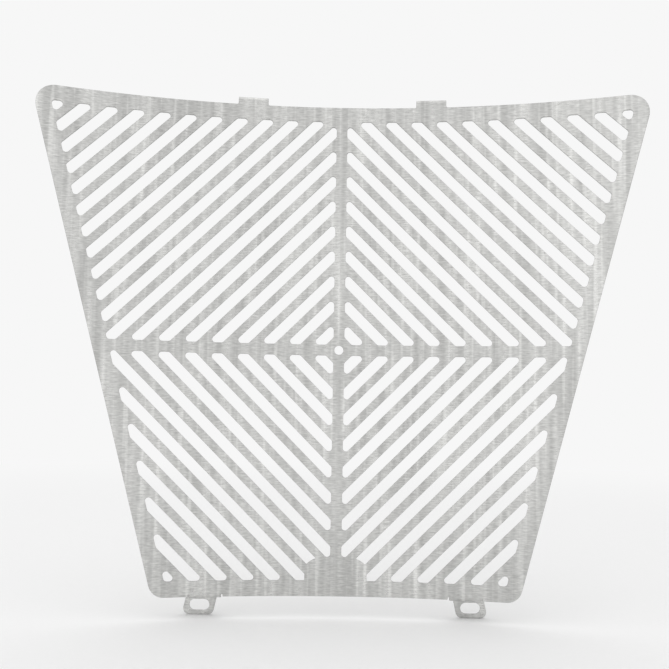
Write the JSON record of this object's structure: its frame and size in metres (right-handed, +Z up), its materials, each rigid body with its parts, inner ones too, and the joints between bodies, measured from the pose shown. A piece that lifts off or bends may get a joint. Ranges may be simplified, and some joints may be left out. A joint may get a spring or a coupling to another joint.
{
  "type": "motorcycle radiator guard",
  "caption": "Hollow-rolled stainless sheet with a chevron grille around a small hub hole, tabs folded back over the top and slotted feet below, bolted in front of a motorcycle radiator.",
  "frame": {"origin": "midway between the two bolt slots, on the rear faces of the lower feet", "axes": "+X across the guard, to the right seen from the front; +Y to the rear, towards the radiator; +Z up"},
  "size_m": [0.3902, 0.0473, 0.3431],
  "materials": {
    "brushed_stainless": "brushed satin"
  },
  "bodies": {
    "root": {"guard_panel": "brushed_stainless"}
  },
  "joints": []
}
